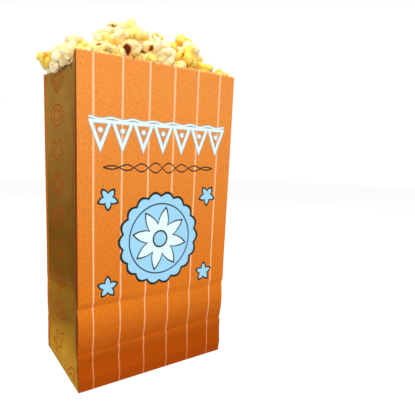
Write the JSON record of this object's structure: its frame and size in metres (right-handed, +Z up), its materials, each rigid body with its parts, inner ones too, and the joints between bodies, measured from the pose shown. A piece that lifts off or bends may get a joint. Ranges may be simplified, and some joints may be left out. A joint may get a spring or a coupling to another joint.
{
  "type": "paper bag of popcorn",
  "caption": "Upright gusseted paper bag with a pinked rim, printed with thin stripes, filled with buttered popcorn that heaps above the rim.",
  "frame": {"origin": "middle of the bag's flat bottom, on the surface it stands on", "axes": "+Z up the bag, -Y out of the printed front panel, +X to the right as seen from the front; the gussets are at -X and +X"},
  "size_m": [0.1372, 0.0779, 0.2676],
  "materials": {
    "printed_kraft": "matt kraft paper, printed orange with pale stripes in front and behind, bare golden kraft on the gussets",
    "popcorn": "dry and slightly greasy, cream to butter yellow with brown hull flecks"
  },
  "bodies": {
    "root": {"paper_bag": "printed_kraft", "popcorn": "popcorn"}
  },
  "joints": []
}
